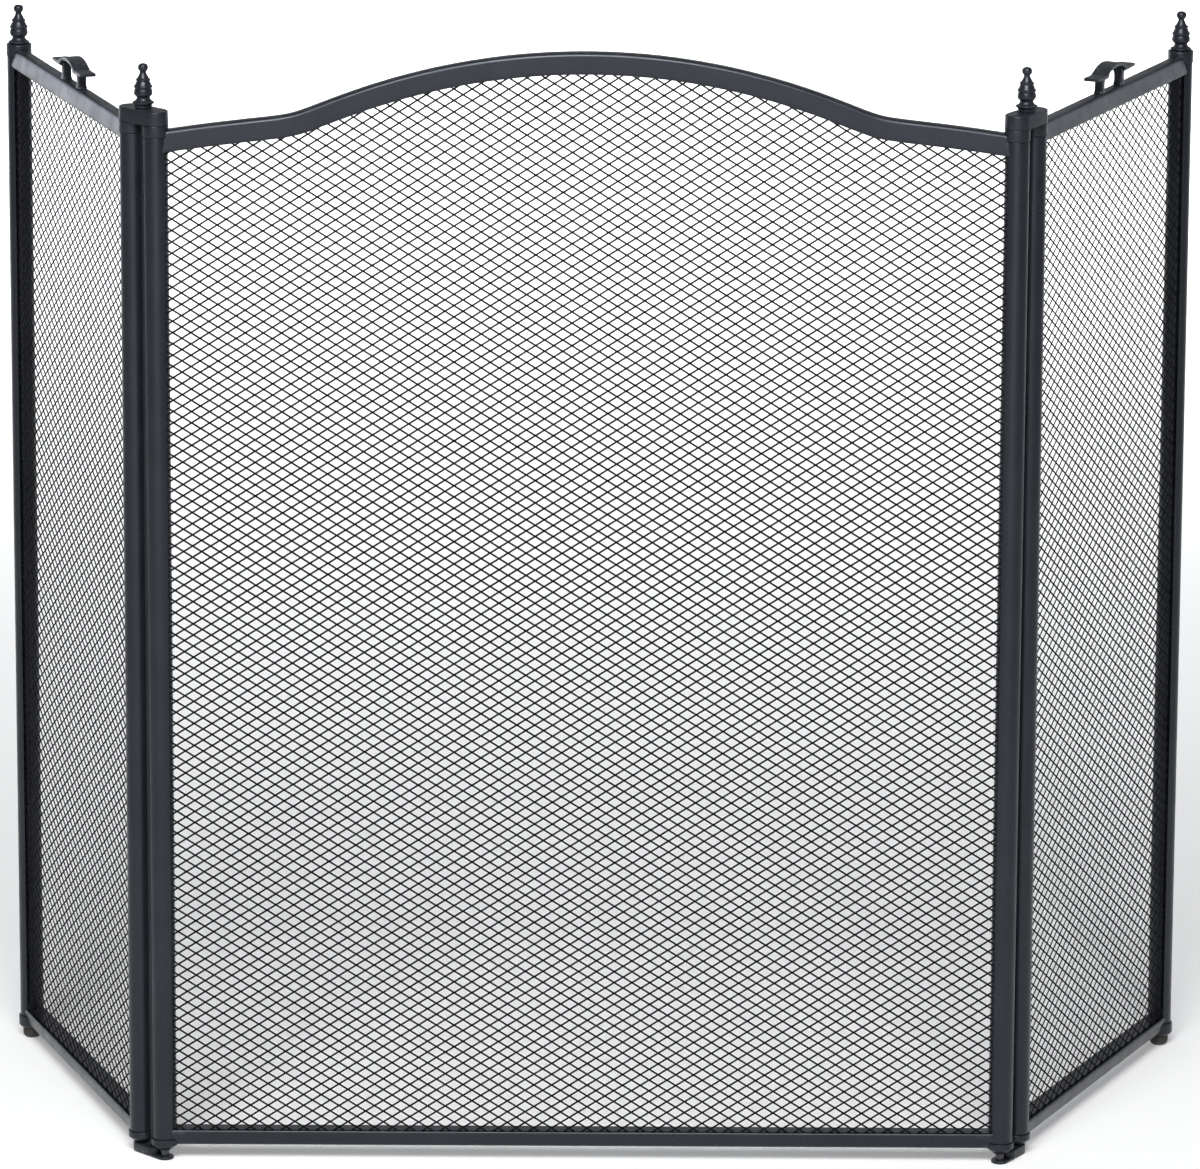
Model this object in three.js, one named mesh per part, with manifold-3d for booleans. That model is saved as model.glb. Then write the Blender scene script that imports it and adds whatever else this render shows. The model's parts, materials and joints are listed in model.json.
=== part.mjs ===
// Three-panel folding fireplace screen.
// Units are millimetres. +X right, +Y away from the viewer, +Z up, floor at z = 0.
// A tall centre panel with an arched top rail carries a narrower wing on each side. Each wing hangs on
// a double-pivot hinge: a top link and a bottom link, tied together by a rod, turn on the centre post,
// and the wing's own post turns on their other end.

import * as THREE from 'three';
import Module from 'manifold-3d';
import { mergeVertices } from 'three/addons/utils/BufferGeometryUtils.js';

const wasm = await Module();
wasm.setup();

// ---------------------------------------------------------------- driving dimensions

const CENTRE_SPAN = 600;          // between the axes of the two centre posts
const WING_SPAN = 288;            // between the axes of a wing's two posts
const LINK_SPAN = 25;             // between the two pivot axes of a hinge link
// Degrees that each link and each wing is turned back from the centre panel's plane.
const REST = { left: { link: 46, wing: 70 }, right: { link: 59, wing: 65.5 } };
const GAP = 0.3;                  // clearance between pieces that touch
const OVERRUN = 1;                // how far a cutting solid runs past the face it cuts
const WELD = 1e-4;                // vertices nearer than this are one vertex

const POST_R = 8.75;
const POST_WALL = 1.4;
const SPIGOT_R = 6.95;            // plugs that sit inside a post's bore
const PIN_R = 3.1;
const PIN_BORE_R = PIN_R + GAP;
const ROD_R = 2.25;
const ROD_BORE_R = ROD_R + GAP;

const HINGE_POST = { bottom: 15.9, top: 747.1 };
const OUTER_POST = { bottom: 17.8, top: 750 };

const MESH_Y = -4.6;              // the mesh plane stands this far in front of the post axes
const RAIL_FRONT = 2.7;           // reach of a rail in front of the mesh plane
const RAIL_BACK = 13.1;           // reach of a rail behind it
const RAIL_LEAN = 1.5;            // how far the front face leans back towards its outer edge
const RAIL_BACK_LEAN = 3;         // how far the back face leans forward towards its outer edge
const RAIL_CROWN = 3.8;           // rounding of the two outer edges
const RAIL_LIP = 1;               // rounding of the edges beside the mesh
const WING_TOP_RAIL = { bottom: 742.4, height: 13 };
const BOTTOM_RAIL = { bottom: 11.4, height: 11.6 };
const ARCH_RAIL_HEIGHT = 15.2;

const ARCH_CHORD_HALF = 202;      // half width of the circular part of the arch
const ARCH_RISE = 46;
const ARCH_MID_Z = 801;           // centreline of the arch rail at its highest point
const SHOULDER_DROP = { linear: 7, curved: 4.5 };
const ARCH_FILLET = 5;
const ARCH_STEPS = 44;

const SHEET_THICK = 1.6;
const SLOT_WIDTH = SHEET_THICK + 2 * GAP;
const SHEET_IN_RAIL = 2.5;
const SLOT_IN_RAIL = SHEET_IN_RAIL + 2 * GAP;
const SHEET_IN_POST = 1.1;
// From a post's axis to the side edge of the sheet in its slot.
const SHEET_EDGE = Math.sqrt(POST_R ** 2 - MESH_Y ** 2) - SHEET_IN_POST;
const SLOT_TOP_INSET = 3;         // from the sheet's side edge to where the post slot's top is measured

const CAP = { bottom: 755.9, height: 9.9, radius: 9.25, edge: 0.8, pinDepth: 6 };
const BOTTOM_LINK = { radius: 6.3, plate: 2, height: 6.8, noseFromAxis: 5.4, rodNutRecess: 3.4 };
const NUT = { acrossFlats: 7, height: 3, sides: 6 };
const HINGE_PIN_TOP = { bottom: 734, top: CAP.bottom + CAP.pinDepth - GAP };
const HINGE_PIN_BOTTOM = { bottom: 0.4, top: 28 };
const TIE_ROD_BOTTOM = 0.6;

const TOP_COLLAR = { bottom: 747.4, top: 755.6, radius: 9.1, spigot: 8 };
const BOTTOM_COLLAR = { tip: 7.1, shoulder: 11.2, top: 15.6, radius: 9.75, tipRadius: 4.8, spigot: 8.5 };
const OUTER_CAP = { bottom: 750.3, top: 759.2, radius: 9.3, recess: 2.9, recessRadius: 7.2, spigot: 10 };
const OUTER_COLLAR = { bottom: 8.3, top: 17.5, radius: 9.9, chamfer: 1.7, spigot: 9 };
const COLLAR_EDGE = 0.6;          // broken edge on the collars and the outer cap
const FOOT = {
  radius: 6.9, height: 8, stemTop: 24, treadInset: 2.2, heelInset: 0.7, heelZ: 0.9, sideZ: 2.6,
};

const FINIAL_HOLE = 12.2;
const STUD_END_GAP = 1;           // between a stud's or rod's end and the bottom of the finial's hole
// Radius and height up the finial: base, flange, waist, belly, two beads, cone, neck, flattened ball.
const FINIAL_PROFILE = [
  [6.2, 0], [6.2, 2.3], [7.7, 3.4], [7.7, 4.2], [5.3, 5.5], [4.7, 7.1], [6.5, 9.3], [6.6, 10.8], [6.3, 13.7],
  [6.5, 15], [5.4, 17.3], [4.9, 19.2], [5, 20], [3.3, 22.3], [2.2, 25.2], [3.6, 27.3], [3.6, 29.3], [2, 31.2],
];
const FINIAL_HEIGHT = 31.2;
const HANDLE = {
  half: 36, width: 12, legIn: 16, legOut: 22, legWidth: 6, legFlare: 0.8,
  under: 10.5, over: 13.3, domeUnder: 15.8, domeOver: 19, sink: 2,
  tipLift: 0.3, ease: 3, crookOut: 0.5, crookDown: 1, legRiseIn: 0.5, legRiseOut: 1.5,
};
const LEG_AXIS = (HANDLE.legIn + HANDLE.legOut) / 2;
const RIVET = { radius: 1.6, inRail: 6, inLeg: 6 };

const TUBE_SEGMENTS = 28;
const COLLAR_SEGMENTS = 20;
const SMALL_SEGMENTS = 16;
const RIVET_SEGMENTS = 10;
const CURVE_SEGMENTS = 3;

// ---------------------------------------------------------------- colours and finishes

const FINISH = {
  post: { color: 0x3b3d42, roughness: 0.48, metalness: 0.35 },
  mesh: { color: 0x1d1e20, roughness: 0.55, metalness: 0.4 },
  casting: { color: 0x35373b, roughness: 0.45, metalness: 0.4 },
  pin: { color: 0x45474b, roughness: 0.4, metalness: 0.8 },
  foot: { color: 0x4a4541, roughness: 0.8, metalness: 0 },
};

// ---------------------------------------------------------------- solids

function solid(geometry) {
  const bare = geometry.clone();
  bare.deleteAttribute('normal');
  bare.deleteAttribute('uv');
  const merged = mergeVertices(bare, WELD);
  const position = merged.attributes.position;
  const index = merged.index.array;
  const corner = [0, 1, 2].map(() => new THREE.Vector3());
  const triangles = [];
  let volume = 0;
  for (let i = 0; i < index.length; i += 3) {
    const [a, b, c] = [index[i], index[i + 1], index[i + 2]];
    if (a === b || b === c || c === a) continue;
    triangles.push(a, b, c);
    [a, b, c].forEach((v, k) => corner[k].fromBufferAttribute(position, v));
    volume += corner[0].dot(corner[1].cross(corner[2]));
  }
  if (volume < 0) triangles.reverse();
  return new wasm.Manifold(new wasm.Mesh({
    numProp: 3,
    vertProperties: Float32Array.from(position.array),
    triVerts: Uint32Array.from(triangles),
  }));
}

function geometryOf(manifold) {
  const mesh = manifold.getMesh();
  const geometry = new THREE.BufferGeometry();
  geometry.setAttribute('position', new THREE.BufferAttribute(mesh.vertProperties, 3));
  geometry.setIndex(new THREE.BufferAttribute(mesh.triVerts, 1));
  const flat = geometry.toNonIndexed();
  flat.computeVertexNormals();
  return flat;
}

const cut = (body, tools) => tools.reduce((rest, tool) => rest.subtract(tool), body);

function piece(name, manifold, finish) {
  const mesh = new THREE.Mesh(geometryOf(manifold), new THREE.MeshStandardMaterial(FINISH[finish]));
  mesh.name = name;
  return mesh;
}

function rod(radius, bottom, top, x = 0, segments = SMALL_SEGMENTS) {
  const geometry = new THREE.CylinderGeometry(radius, radius, top - bottom, segments);
  geometry.rotateX(Math.PI / 2);
  geometry.translate(x, 0, (bottom + top) / 2);
  return solid(geometry);
}

function block(x0, x1, y0, y1, z0, z1) {
  const geometry = new THREE.BoxGeometry(x1 - x0, y1 - y0, z1 - z0);
  geometry.translate((x0 + x1) / 2, (y0 + y1) / 2, (z0 + z1) / 2);
  return solid(geometry);
}

function turned(profile, segments = COLLAR_SEGMENTS) {
  const points = profile.map(([r, z]) => new THREE.Vector2(r, z));
  return solid(new THREE.LatheGeometry(points, segments).rotateX(Math.PI / 2));
}

const ring = (profile) => turned([...profile, profile[0]]);

// ---------------------------------------------------------------- posts, collars, feet

function post({ bottom, top }, slotSides, slotTop) {
  const outline = new THREE.Shape();
  outline.absarc(0, 0, POST_R, 0, 2 * Math.PI);
  const bore = new THREE.Path();
  bore.absarc(0, 0, POST_R - POST_WALL, 0, 2 * Math.PI);
  outline.holes.push(bore);
  const geometry = new THREE.ExtrudeGeometry(outline, {
    depth: top - bottom, bevelEnabled: false, curveSegments: TUBE_SEGMENTS / 2,
  });
  geometry.translate(0, 0, bottom);
  const slotBottom = BOTTOM_RAIL.bottom + BOTTOM_RAIL.height - SLOT_IN_RAIL;
  const slots = slotSides.map((side) => {
    const [x0, x1] = side > 0 ? [POST_R / 2, POST_R + OVERRUN] : [-POST_R - OVERRUN, -POST_R / 2];
    return block(x0, x1, MESH_Y - SLOT_WIDTH / 2, MESH_Y + SLOT_WIDTH / 2, slotBottom, slotTop + GAP);
  });
  return cut(solid(geometry), slots);
}

const topCollar = () => ring([
  [PIN_BORE_R, TOP_COLLAR.bottom - TOP_COLLAR.spigot],
  [SPIGOT_R, TOP_COLLAR.bottom - TOP_COLLAR.spigot],
  [SPIGOT_R, TOP_COLLAR.bottom],
  [TOP_COLLAR.radius, TOP_COLLAR.bottom],
  [TOP_COLLAR.radius, TOP_COLLAR.top - COLLAR_EDGE],
  [TOP_COLLAR.radius - COLLAR_EDGE, TOP_COLLAR.top],
  [PIN_BORE_R, TOP_COLLAR.top],
]);

const bottomCollar = () => ring([
  [PIN_BORE_R, BOTTOM_COLLAR.tip],
  [BOTTOM_COLLAR.tipRadius, BOTTOM_COLLAR.tip],
  [BOTTOM_COLLAR.radius, BOTTOM_COLLAR.shoulder],
  [BOTTOM_COLLAR.radius, BOTTOM_COLLAR.top],
  [SPIGOT_R, BOTTOM_COLLAR.top],
  [SPIGOT_R, BOTTOM_COLLAR.top + BOTTOM_COLLAR.spigot],
  [PIN_BORE_R, BOTTOM_COLLAR.top + BOTTOM_COLLAR.spigot],
]);

const outerCap = () => turned([
  [0, OUTER_CAP.bottom - OUTER_CAP.spigot],
  [SPIGOT_R, OUTER_CAP.bottom - OUTER_CAP.spigot],
  [SPIGOT_R, OUTER_CAP.bottom],
  [OUTER_CAP.radius, OUTER_CAP.bottom],
  [OUTER_CAP.radius, OUTER_CAP.top - COLLAR_EDGE],
  [OUTER_CAP.radius - COLLAR_EDGE, OUTER_CAP.top],
  [OUTER_CAP.recessRadius, OUTER_CAP.top],
  [OUTER_CAP.recessRadius, OUTER_CAP.top - OUTER_CAP.recess],
  [ROD_BORE_R, OUTER_CAP.top - OUTER_CAP.recess],
  [ROD_BORE_R, OUTER_CAP.bottom - OUTER_CAP.spigot / 2],
  [0, OUTER_CAP.bottom - OUTER_CAP.spigot / 2],
]);

const outerCollar = () => ring([
  [PIN_BORE_R, OUTER_COLLAR.bottom],
  [OUTER_COLLAR.radius - OUTER_COLLAR.chamfer, OUTER_COLLAR.bottom],
  [OUTER_COLLAR.radius, OUTER_COLLAR.bottom + OUTER_COLLAR.chamfer],
  [OUTER_COLLAR.radius, OUTER_COLLAR.top],
  [SPIGOT_R, OUTER_COLLAR.top],
  [SPIGOT_R, OUTER_COLLAR.top + OUTER_COLLAR.spigot],
  [PIN_BORE_R, OUTER_COLLAR.top + OUTER_COLLAR.spigot],
]);

const foot = () => turned([
  [0, 0], [FOOT.radius - FOOT.treadInset, 0], [FOOT.radius - FOOT.heelInset, FOOT.heelZ],
  [FOOT.radius, FOOT.sideZ], [FOOT.radius, FOOT.height], [PIN_R, FOOT.height],
  [PIN_R, FOOT.stemTop], [0, FOOT.stemTop],
]);

// A turned finial over a blind hole for its stud.
const finial = () => turned([
  [ROD_BORE_R, 0], ...FINIAL_PROFILE, [0, FINIAL_HEIGHT], [0, FINIAL_HOLE],
  [ROD_BORE_R, FINIAL_HOLE], [ROD_BORE_R, 0],
], SMALL_SEGMENTS);

// ---------------------------------------------------------------- rails and mesh sheets

// Section of a rail: x is the reach in front of the mesh plane, y grows towards the mesh.
function railSection(height) {
  const half = height / 2;
  const crownFront = RAIL_FRONT - RAIL_LEAN;
  const crownBack = RAIL_BACK - RAIL_BACK_LEAN;
  const section = new THREE.Shape();
  section.moveTo(RAIL_FRONT - RAIL_LIP, half);
  section.quadraticCurveTo(RAIL_FRONT, half, RAIL_FRONT, half - 2 * RAIL_LIP);
  section.lineTo(crownFront, RAIL_CROWN - half);
  section.quadraticCurveTo(crownFront, -half, crownFront - RAIL_CROWN, -half);
  section.lineTo(RAIL_CROWN - crownBack, -half);
  section.quadraticCurveTo(-crownBack, -half, -crownBack, RAIL_CROWN - half);
  section.lineTo(-RAIL_BACK, half - RAIL_LIP);
  section.lineTo(RAIL_LIP - RAIL_BACK, half);
  return section;
}

// A straight rail between post axes x0 and x1, with its mesh slot on the side `meshSide` (+1 up).
function straightRail(x0, x1, { bottom, height }, meshSide) {
  const geometry = new THREE.ExtrudeGeometry(railSection(height), {
    depth: x1 - x0, bevelEnabled: false, curveSegments: CURVE_SEGMENTS,
  });
  geometry.translate(0, 0, (x0 - x1) / 2);
  geometry.applyMatrix4(new THREE.Matrix4().makeBasis(
    new THREE.Vector3(0, -1, 0), new THREE.Vector3(0, 0, meshSide), new THREE.Vector3(-meshSide, 0, 0),
  ));
  geometry.translate((x0 + x1) / 2, MESH_Y, bottom + height / 2);
  const meshEdge = meshSide > 0 ? bottom + height : bottom;
  const slotDepths = [meshEdge - meshSide * SLOT_IN_RAIL, meshEdge + meshSide * OVERRUN];
  slotDepths.sort((a, b) => a - b);
  const [slotFront, slotBack] = [MESH_Y - SLOT_WIDTH / 2, MESH_Y + SLOT_WIDTH / 2];
  return solid(geometry).subtract(block(x0, x1, slotFront, slotBack, ...slotDepths));
}

// Height of the arch rail's centreline: a circular arch between two gently falling shoulders.
function archZ(x) {
  const radius = (ARCH_CHORD_HALF ** 2 + ARCH_RISE ** 2) / (2 * ARCH_RISE);
  const arch = ARCH_MID_Z - radius + Math.sqrt(radius ** 2 - x ** 2);
  const u = (Math.abs(x) - ARCH_CHORD_HALF) / (CENTRE_SPAN / 2 - ARCH_CHORD_HALF);
  const shoulder = ARCH_MID_Z - ARCH_RISE - SHOULDER_DROP.linear * u - SHOULDER_DROP.curved * u * u;
  return (arch + shoulder + Math.hypot(arch - shoulder, ARCH_FILLET)) / 2;
}

class ArchLine extends THREE.Curve {
  getPoint(t, target = new THREE.Vector3()) {
    const x = CENTRE_SPAN * (t - 0.5);
    return target.set(x, MESH_Y, archZ(x));
  }
}

// A flat sheet in the mesh plane between x0 and x1, from `bottom` up to topZ(x).
function sheet(x0, x1, bottom, topZ, thickness, steps) {
  const outline = new THREE.Shape();
  outline.moveTo(x0, bottom);
  outline.lineTo(x1, bottom);
  for (let i = 0; i <= steps; i += 1) {
    const x = x1 + (x0 - x1) * (i / steps);
    outline.lineTo(x, topZ(x));
  }
  const geometry = new THREE.ExtrudeGeometry(outline, { depth: thickness, bevelEnabled: false });
  geometry.translate(0, 0, -thickness / 2 - MESH_Y);
  return solid(geometry.rotateX(Math.PI / 2));
}

const archUnderside = (depthInRail) => (x) => archZ(x) - ARCH_RAIL_HEIGHT / 2 + depthInRail;

function archRail() {
  const geometry = new THREE.ExtrudeGeometry(railSection(ARCH_RAIL_HEIGHT), {
    steps: ARCH_STEPS, bevelEnabled: false, curveSegments: CURVE_SEGMENTS, extrudePath: new ArchLine(),
  });
  const half = CENTRE_SPAN / 2;
  const slot = sheet(-half, half, HINGE_POST.bottom, archUnderside(SLOT_IN_RAIL), SLOT_WIDTH, ARCH_STEPS);
  return solid(geometry).subtract(slot);
}

// Room for a post and its collars at the rail's end on the axis x.
function cope(x, tube, collars) {
  const clearances = [rod(POST_R + GAP, 0, tube.top + ARCH_RISE, x, TUBE_SEGMENTS)];
  for (const { bottom, top, radius } of collars) {
    clearances.push(rod(radius + GAP, bottom - GAP, top + GAP, x, TUBE_SEGMENTS));
  }
  return clearances;
}

const HINGE_COLLARS = [
  TOP_COLLAR, { bottom: BOTTOM_COLLAR.tip, top: BOTTOM_COLLAR.top, radius: BOTTOM_COLLAR.radius },
];
const OUTER_COLLARS = [OUTER_CAP, OUTER_COLLAR];

// ---------------------------------------------------------------- hinge links

// Obround in plan, its end centres at x = a and x = b.
function obround(a, b, radius, bottom, height, edge = 0) {
  const r = radius - edge;
  const outline = new THREE.Shape();
  outline.absarc(b, 0, r, -Math.PI / 2, Math.PI / 2);
  outline.absarc(a, 0, r, Math.PI / 2, 1.5 * Math.PI);
  const geometry = new THREE.ExtrudeGeometry(outline, {
    depth: height - 2 * edge, bevelEnabled: edge > 0, bevelThickness: edge, bevelSize: edge,
    bevelSegments: 1, curveSegments: 2 * CURVE_SEGMENTS,
  });
  geometry.translate(0, 0, bottom + edge);
  return solid(geometry);
}

const topLink = () => cut(obround(0, LINK_SPAN, CAP.radius, CAP.bottom, CAP.height, CAP.edge), [
  rod(PIN_BORE_R, CAP.bottom - OVERRUN, CAP.bottom + CAP.pinDepth),
  rod(PIN_BORE_R, CAP.bottom - OVERRUN, CAP.bottom + CAP.pinDepth, LINK_SPAN),
  rod(ROD_BORE_R, CAP.bottom - OVERRUN, CAP.bottom + CAP.height + OVERRUN, LINK_SPAN / 2),
]);

function bottomLink() {
  const { radius, plate, height, noseFromAxis, rodNutRecess } = BOTTOM_LINK;
  const base = obround(0, LINK_SPAN, radius, 0, plate);
  const bar = obround(noseFromAxis + radius, LINK_SPAN, radius, 0, height);
  return cut(base.add(bar), [
    rod(PIN_BORE_R, -OVERRUN, height + OVERRUN),
    rod(PIN_BORE_R, -OVERRUN, height + OVERRUN, LINK_SPAN),
    rod(ROD_BORE_R, -OVERRUN, height + OVERRUN, LINK_SPAN / 2),
    rod(NUT.acrossFlats / Math.sqrt(3) + GAP, -OVERRUN, rodNutRecess, LINK_SPAN / 2),
  ]);
}

function rodNut() {
  const top = BOTTOM_LINK.rodNutRecess - GAP;
  const bottom = top - NUT.height;
  const hexagon = rod(NUT.acrossFlats / Math.sqrt(3), bottom, top, LINK_SPAN / 2, NUT.sides);
  return hexagon.subtract(rod(ROD_BORE_R, bottom - OVERRUN, top + OVERRUN, LINK_SPAN / 2));
}

function link(side) {
  const { bottom: low, top: high } = HINGE_PIN_TOP;
  const { bottom: floor, top: reach } = HINGE_PIN_BOTTOM;
  const finialBase = CAP.bottom + CAP.height + GAP;
  const rodTop = finialBase + FINIAL_HOLE - STUD_END_GAP;
  const pieces = [
    piece(`${side}_link_cap`, topLink(), 'casting'),
    piece(`${side}_link_base`, bottomLink(), 'casting'),
    piece(`${side}_tie_rod`, rod(ROD_R, TIE_ROD_BOTTOM, rodTop, LINK_SPAN / 2), 'post'),
    piece(`${side}_tie_rod_nut`, rodNut(), 'pin'),
    piece(`${side}_link_finial`, finial().translate([LINK_SPAN / 2, 0, finialBase]), 'casting'),
    piece(`${side}_centre_pin_top`, rod(PIN_R, low, high), 'pin'),
    piece(`${side}_wing_pin_top`, rod(PIN_R, low, high, LINK_SPAN), 'pin'),
    piece(`${side}_centre_pin_bottom`, rod(PIN_R, floor, reach), 'pin'),
    piece(`${side}_wing_pin_bottom`, rod(PIN_R, floor, reach, LINK_SPAN), 'pin'),
  ];
  const group = new THREE.Group();
  group.add(...pieces);
  return group;
}

// ---------------------------------------------------------------- handle

function handle(railTop, rail, x) {
  const h = HANDLE;
  const crook = { x: h.legIn - h.crookOut, y: h.domeUnder - h.crookDown };
  const strip = new THREE.Shape();
  strip.moveTo(-h.half, h.under + h.tipLift);
  strip.lineTo(-h.legOut, h.under);
  strip.lineTo(-h.legIn, h.under);
  strip.bezierCurveTo(-crook.x, crook.y, -h.legIn / 2, h.domeUnder, 0, h.domeUnder);
  strip.bezierCurveTo(h.legIn / 2, h.domeUnder, crook.x, crook.y, h.legIn, h.under);
  strip.lineTo(h.legOut, h.under);
  strip.lineTo(h.half, h.under + h.tipLift);
  strip.lineTo(h.half, h.over);
  strip.lineTo(h.legOut + h.ease, h.over);
  strip.bezierCurveTo(h.legIn, h.over, h.legIn - h.ease, h.domeOver, 0, h.domeOver);
  strip.bezierCurveTo(h.ease - h.legIn, h.domeOver, -h.legIn, h.over, -h.legOut - h.ease, h.over);
  strip.lineTo(-h.half, h.over);
  const across = (shape, width) => {
    const geometry = new THREE.ExtrudeGeometry(shape, {
      depth: width, bevelEnabled: false, curveSegments: 2 * CURVE_SEGMENTS,
    });
    geometry.translate(0, 0, -width / 2);
    return solid(geometry.rotateX(Math.PI / 2));
  };
  const leg = (side) => {
    const shape = new THREE.Shape();
    shape.moveTo(side * (h.legIn - h.legFlare), -h.sink);
    shape.lineTo(side * (h.legOut + h.legFlare), -h.sink);
    shape.lineTo(side * h.legOut, h.under + h.legRiseOut);
    shape.lineTo(side * h.legIn, h.under + h.legRiseIn);
    return across(shape, h.legWidth);
  };
  const body = across(strip, h.width).add(leg(-1)).add(leg(1)).translate([x, 0, railTop]);
  const rivetHoles = [-LEG_AXIS, LEG_AXIS].map((offset) => rod(
    RIVET.radius + GAP, railTop - h.sink - OVERRUN, railTop + RIVET.inLeg, x + offset, RIVET_SEGMENTS,
  ));
  return cut(body, [rail.translate([0, 0, GAP]), ...rivetHoles]);
}

// ---------------------------------------------------------------- panels

function at(mesh, x) {
  mesh.position.x = x;
  return mesh;
}

function centrePanel() {
  const half = CENTRE_SPAN / 2;
  const sheetHalf = half - SHEET_EDGE;
  const railTop = BOTTOM_RAIL.bottom + BOTTOM_RAIL.height;
  const copes = [-half, half].flatMap((x) => cope(x, HINGE_POST, HINGE_COLLARS));
  const sheetTop = archUnderside(SHEET_IN_RAIL);
  const slotTop = sheetTop(sheetHalf - SLOT_TOP_INSET);
  const group = new THREE.Group();
  group.add(
    piece('centre_arch_rail', cut(archRail(), copes), 'post'),
    piece('centre_bottom_rail', cut(straightRail(-half, half, BOTTOM_RAIL, 1), copes), 'post'),
    piece('centre_mesh', sheet(-sheetHalf, sheetHalf, railTop - SHEET_IN_RAIL, sheetTop, SHEET_THICK,
      ARCH_STEPS), 'mesh'),
  );
  for (const [side, sign] of [['left', -1], ['right', 1]]) {
    group.add(
      at(piece(`centre_post_${side}`, post(HINGE_POST, [-sign], slotTop), 'post'), sign * half),
      at(piece(`centre_top_collar_${side}`, topCollar(), 'casting'), sign * half),
      at(piece(`centre_bottom_collar_${side}`, bottomCollar(), 'casting'), sign * half),
    );
  }
  return group;
}

// A wing in its own frame: hinge post on the z axis, outer post at x = sign * WING_SPAN.
function wing(side, sign) {
  const outer = sign * WING_SPAN;
  const [x0, x1] = sign > 0 ? [0, outer] : [outer, 0];
  const bottomEdge = BOTTOM_RAIL.bottom + BOTTOM_RAIL.height - SHEET_IN_RAIL;
  const topEdge = WING_TOP_RAIL.bottom + SHEET_IN_RAIL;
  const railTop = WING_TOP_RAIL.bottom + WING_TOP_RAIL.height;
  const copes = [...cope(0, HINGE_POST, HINGE_COLLARS), ...cope(outer, OUTER_POST, OUTER_COLLARS)];
  const plainTopRail = cut(straightRail(x0, x1, WING_TOP_RAIL, -1), copes);
  const rivetHoles = [-LEG_AXIS, LEG_AXIS].map((offset) => rod(
    RIVET.radius + GAP, railTop - RIVET.inRail, railTop + OVERRUN, outer / 2 + offset, RIVET_SEGMENTS,
  ));
  const rivet = (name, x) => piece(name, rod(
    RIVET.radius, railTop - RIVET.inRail + GAP, railTop + RIVET.inLeg - GAP, x, RIVET_SEGMENTS,
  ), 'pin');
  const finialBase = OUTER_CAP.top - OUTER_CAP.recess + GAP;
  const studBottom = OUTER_CAP.bottom - OUTER_CAP.spigot / 2 + GAP;
  const studTop = finialBase + FINIAL_HOLE - STUD_END_GAP;
  const group = new THREE.Group();
  group.add(
    piece(`${side}_hinge_post`, post(HINGE_POST, [sign], topEdge), 'post'),
    piece(`${side}_hinge_top_collar`, topCollar(), 'casting'),
    piece(`${side}_hinge_bottom_collar`, bottomCollar(), 'casting'),
    at(piece(`${side}_outer_post`, post(OUTER_POST, [-sign], topEdge), 'post'), outer),
    at(piece(`${side}_outer_cap`, outerCap(), 'casting'), outer),
    at(piece(`${side}_outer_finial`, finial().translate([0, 0, finialBase]), 'casting'), outer),
    at(piece(`${side}_outer_stud`, rod(ROD_R, studBottom, studTop), 'pin'), outer),
    at(piece(`${side}_outer_collar`, outerCollar(), 'casting'), outer),
    at(piece(`${side}_foot`, foot(), 'foot'), outer),
    piece(`${side}_top_rail`, cut(plainTopRail, rivetHoles), 'post'),
    piece(`${side}_bottom_rail`, cut(straightRail(x0, x1, BOTTOM_RAIL, 1), copes), 'post'),
    piece(`${side}_mesh`, sheet(x0 + SHEET_EDGE, x1 - SHEET_EDGE, bottomEdge, () => topEdge, SHEET_THICK, 1),
      'mesh'),
    piece(`${side}_handle`, handle(railTop, plainTopRail, outer / 2), 'casting'),
    rivet(`${side}_handle_rivet_a`, outer / 2 - LEG_AXIS),
    rivet(`${side}_handle_rivet_b`, outer / 2 + LEG_AXIS),
  );
  return group;
}

// ---------------------------------------------------------------- assembly

const screen = new THREE.Group();
screen.name = 'fireplace_screen';
screen.add(centrePanel());

// Where the outer post's axis of each side ends up, from the middle of the centre panel.
const outerEnd = {};
for (const [side, sign] of [['left', -1], ['right', 1]]) {
  const linkAngle = THREE.MathUtils.degToRad(REST[side].link);
  const wingAngle = THREE.MathUtils.degToRad(REST[side].wing);
  const hinge = link(side);
  hinge.position.x = (sign * CENTRE_SPAN) / 2;
  hinge.rotation.z = sign > 0 ? linkAngle : Math.PI - linkAngle;
  const panel = wing(side, sign);
  panel.position.x = sign * (CENTRE_SPAN / 2 + LINK_SPAN * Math.cos(linkAngle));
  panel.position.y = LINK_SPAN * Math.sin(linkAngle);
  panel.rotation.z = sign * wingAngle;
  screen.add(hinge, panel);
  outerEnd[side] = new THREE.Vector2(
    panel.position.x + sign * WING_SPAN * Math.cos(wingAngle),
    panel.position.y + WING_SPAN * Math.sin(wingAngle),
  );
}

// The origin sits on the floor under the middle of the screen's box.
const front = -BOTTOM_COLLAR.radius;
const back = Math.max(outerEnd.left.y, outerEnd.right.y) + OUTER_COLLAR.radius;
screen.position.set(-(outerEnd.left.x + outerEnd.right.x) / 2, -(front + back) / 2, 0);

export default screen;
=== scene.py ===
import json
import math
import random

import bmesh
import bpy
from mathutils import Matrix, Vector


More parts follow.
